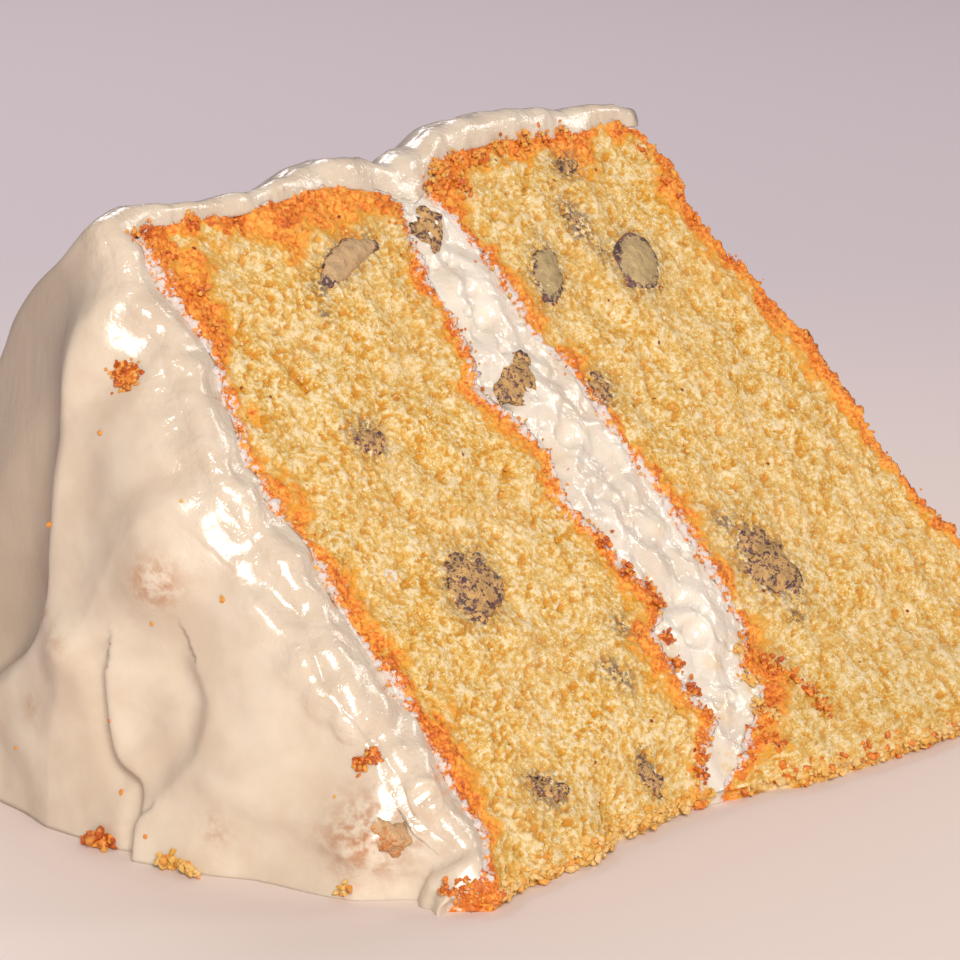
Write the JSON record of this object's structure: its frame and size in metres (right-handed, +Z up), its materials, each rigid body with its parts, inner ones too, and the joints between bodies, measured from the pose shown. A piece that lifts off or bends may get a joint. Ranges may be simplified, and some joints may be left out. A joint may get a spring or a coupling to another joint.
{
  "type": "layer cake",
  "caption": "Slice of an iced layer cake with nut pieces, lying on a cut face: soft sponge layers, a cream filling, and thick icing over the top and around the rim.",
  "frame": {"origin": "centre of the slice's outline on the surface that it rests on", "axes": "+Z up. The cake's own axis lies along X: the iced top of the cake faces -X and the bare base faces +X. The tip edge of the slice is on the -Y side and the rim of the cake on the +Y side."},
  "size_m": [0.1096, 0.0875, 0.0648],
  "materials": {
    "crumb": "soft, fine-pored golden crumb with a browned crust",
    "filling": "glossy cream with small pits",
    "icing": "smooth spatula-spread cream, softly glossy",
    "nut": "dark nut skin with a tan cut face"
  },
  "bodies": {
    "root": {"sponge_upper": "crumb", "sponge_lower": "crumb", "filling": "filling", "icing": "icing", "pecan_01": "nut", "pecan_02": "nut", "pecan_03": "nut", "pecan_04": "nut", "pecan_05": "nut", "pecan_06": "nut", "pecan_07": "nut", "pecan_08": "nut", "pecan_09": "nut", "pecan_10": "nut", "pecan_11": "nut", "pecan_12": "nut", "pecan_13": "nut", "pecan_14": "nut", "pecan_15": "nut", "pecan_16": "nut"}
  },
  "joints": []
}
